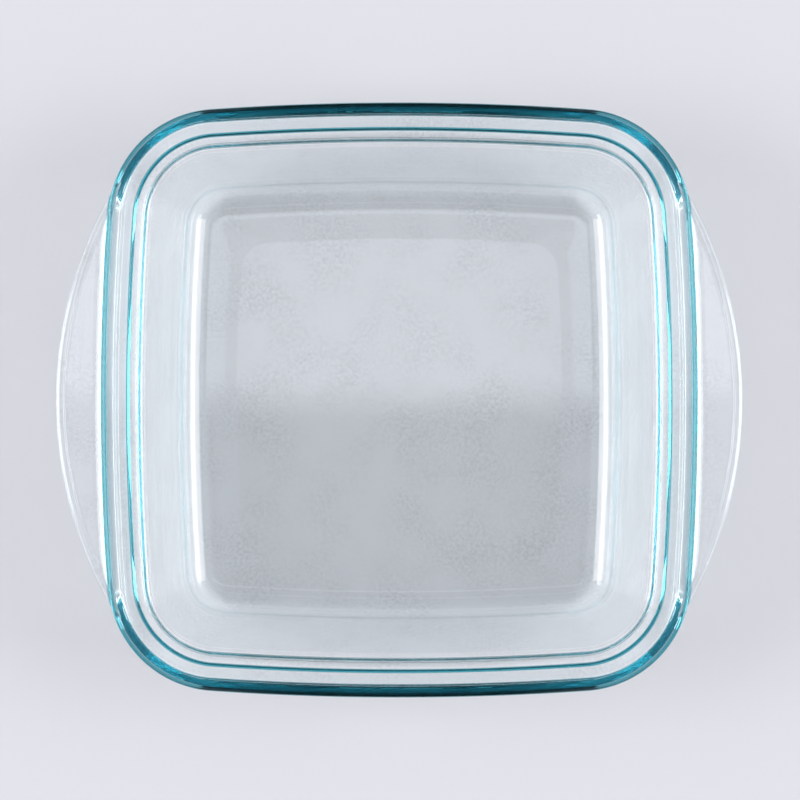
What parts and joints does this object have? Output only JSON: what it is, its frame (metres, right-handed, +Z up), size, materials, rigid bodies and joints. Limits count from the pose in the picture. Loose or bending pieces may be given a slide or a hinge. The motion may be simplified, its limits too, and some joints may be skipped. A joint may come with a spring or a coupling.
{
  "type": "lasagna dish",
  "caption": "Square clear glass oven dish with bowed sides, a stepped rim and flat crescent handles on opposite sides.",
  "frame": {"origin": "middle of the underside, on the surface that the dish stands on", "axes": "+Z up out of the dish, +X towards one handle, +Y towards a side without a handle"},
  "size_m": [0.278, 0.24, 0.06],
  "materials": {
    "clear_glass": "clear pressed glass, glossy, with a blue-green tint where it is seen through its length"
  },
  "bodies": {
    "root": {"glass_dish": "clear_glass"}
  },
  "joints": []
}
